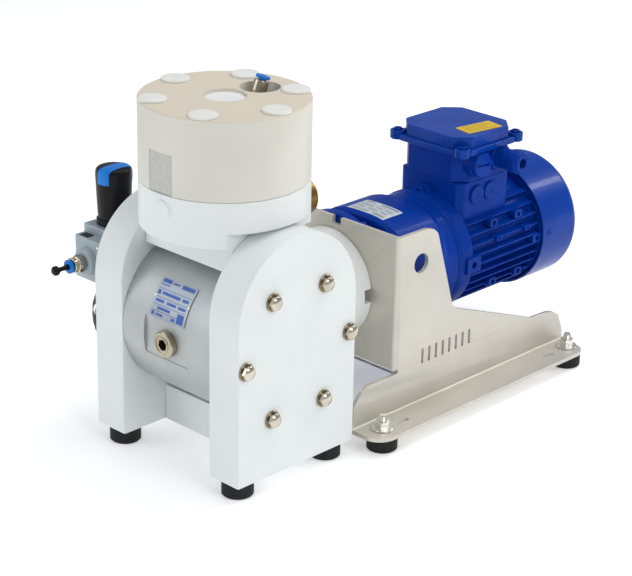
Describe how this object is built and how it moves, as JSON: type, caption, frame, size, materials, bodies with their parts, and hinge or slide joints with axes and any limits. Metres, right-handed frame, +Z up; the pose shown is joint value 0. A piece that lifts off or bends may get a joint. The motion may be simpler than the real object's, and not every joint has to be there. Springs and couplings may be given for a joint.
{
  "type": "motor-driven double diaphragm pump",
  "caption": "Motor-driven double diaphragm pump: slab housings on a drum, round pulsation dampener on top, gear motor on a bent sheet bracket, air regulator at the side.",
  "frame": {"origin": "centre of the footprint's bounding box, on the ground", "axes": "+Z up, +Y from the pump towards the motor, +X towards the housing beside the long bracket wall seen with bolt heads"},
  "size_m": [0.271, 0.5528, 0.3609],
  "materials": {
    "white_pe": "milled polyethylene, satin",
    "white_cap": "moulded, satin",
    "ball": "smooth",
    "ptfe": "smooth",
    "grey_plastic": "turned, satin",
    "aluminium": "turned",
    "bracket_sheet": "bead-blasted",
    "brass": "machined",
    "motor_paint": "gloss paint over castings",
    "rubber": "moulded",
    "black_plastic": "satin",
    "blue_plastic": "smooth",
    "cast_body": "satin paint over die casting",
    "nameplate": "printed plate, no lettering",
    "steel": "machined"
  },
  "bodies": {
    "frame": {"adapter_ring": "white_pe", "bracket_foot_1": "rubber", "bracket_foot_2": "rubber", "bracket_foot_3": "rubber", "bracket_foot_4": "rubber", "cable_gland": "motor_paint", "centre_block": "aluminium", "dampener_base": "white_pe", "dampener_body": "grey_plastic", "dampener_cap_1": "white_cap", "dampener_cap_2": "white_cap", "dampener_cap_3": "white_cap", "dampener_cap_4": "white_cap", "dampener_cap_5": "white_cap", "dampener_cap_6": "white_cap", "dampener_fitting": "steel", "drain_plug": "steel", "fan_cowl": "motor_paint", "filter_bowl": "black_plastic", "foot_nut_1": "steel", "foot_nut_2": "steel", "foot_nut_3": "steel", "foot_nut_4": "steel", "gearbox": "motor_paint", "inlet_manifold": "white_pe", "left_housing": "white_pe", "motor_body": "motor_paint", "motor_bracket": "bracket_sheet", "nameplate": "nameplate", "outlet_nipple": "brass", "pump_foot_1": "rubber", "pump_foot_2": "rubber", "pump_foot_3": "rubber", "pump_foot_4": "rubber", "regulator_body": "cast_body", "regulator_fitting": "steel", "right_housing": "white_pe", "screw_left_1": "steel", "screw_left_4": "steel", "screw_right_1": "steel", "screw_right_4": "steel", "terminal_box": "motor_paint", "terminal_cover": "motor_paint", "tie_bolt_2": "steel", "tie_bolt_3": "steel", "tie_bolt_5": "steel", "tie_bolt_6": "steel"},
    "drive": {"drive_shaft": "steel"},
    "rotor": {"fan_rotor": "black_plastic"},
    "diaphragms": {"diaphragm_shaft": "steel", "diaphragm_right": "ptfe", "diaphragm_left": "ptfe"},
    "ball_right_inlet": {"valve_ball_right_inlet": "ball"},
    "ball_right_outlet": {"valve_ball_right_outlet": "ball"},
    "ball_left_inlet": {"valve_ball_left_inlet": "ball"},
    "ball_left_outlet": {"valve_ball_left_outlet": "ball"},
    "knob": {"regulator_knob": "black_plastic"},
    "pin": {"blanking_pin": "black_plastic"},
    "regulator_ring": {"regulator_release_ring": "blue_plastic"},
    "dampener_ring": {"dampener_release_ring": "blue_plastic"}
  },
  "joints": [
    {"name": "drive_turn", "type": "hinge", "parent": "frame", "child": "drive", "pos_m": [0.0105, -0.1256, 0.1305], "axis": [0, 1, 0], "continuous": true},
    {"name": "rotor_turn", "type": "hinge", "parent": "frame", "child": "rotor", "pos_m": [0.0105, 0.1744, 0.1305], "axis": [0, 1, 0], "continuous": true},
    {"name": "diaphragm_stroke", "type": "slide", "parent": "frame", "child": "diaphragms", "axis": [1, 0, 0], "range_m": [-0.008, 0.008]},
    {"name": "ball_right_inlet_lift", "type": "slide", "parent": "frame", "child": "ball_right_inlet", "axis": [0, 0, 1], "range_m": [0, 0.012]},
    {"name": "ball_right_outlet_lift", "type": "slide", "parent": "frame", "child": "ball_right_outlet", "axis": [0, 0, 1], "range_m": [0, 0.01]},
    {"name": "ball_left_inlet_lift", "type": "slide", "parent": "frame", "child": "ball_left_inlet", "axis": [0, 0, 1], "range_m": [0, 0.012]},
    {"name": "ball_left_outlet_lift", "type": "slide", "parent": "frame", "child": "ball_left_outlet", "axis": [0, 0, 1], "range_m": [0, 0.01]},
    {"name": "knob_turn", "type": "hinge", "parent": "frame", "child": "knob", "pos_m": [-0.1155, -0.2006, 0.216], "axis": [0, 0, 1], "range_deg": [-675, 675]},
    {"name": "pin_pull", "type": "slide", "parent": "frame", "child": "pin", "axis": [0, -1, 0], "range_m": [0, 0.03]},
    {"name": "regulator_ring_press", "type": "slide", "parent": "frame", "child": "regulator_ring", "axis": [0, 1, 0], "range_m": [0, 0.001], "stiffness_N_per_m": 800, "springref_m": -0.001},
    {"name": "dampener_ring_press", "type": "slide", "parent": "frame", "child": "dampener_ring", "axis": [-0.087, -0.3201, -0.9434], "range_m": [0, 0.0013], "stiffness_N_per_m": 800, "springref_m": -0.001}
  ],
  "couplings": [
    {"joint": "rotor_turn", "follows": "drive_turn", "ratio": 15}
  ]
}
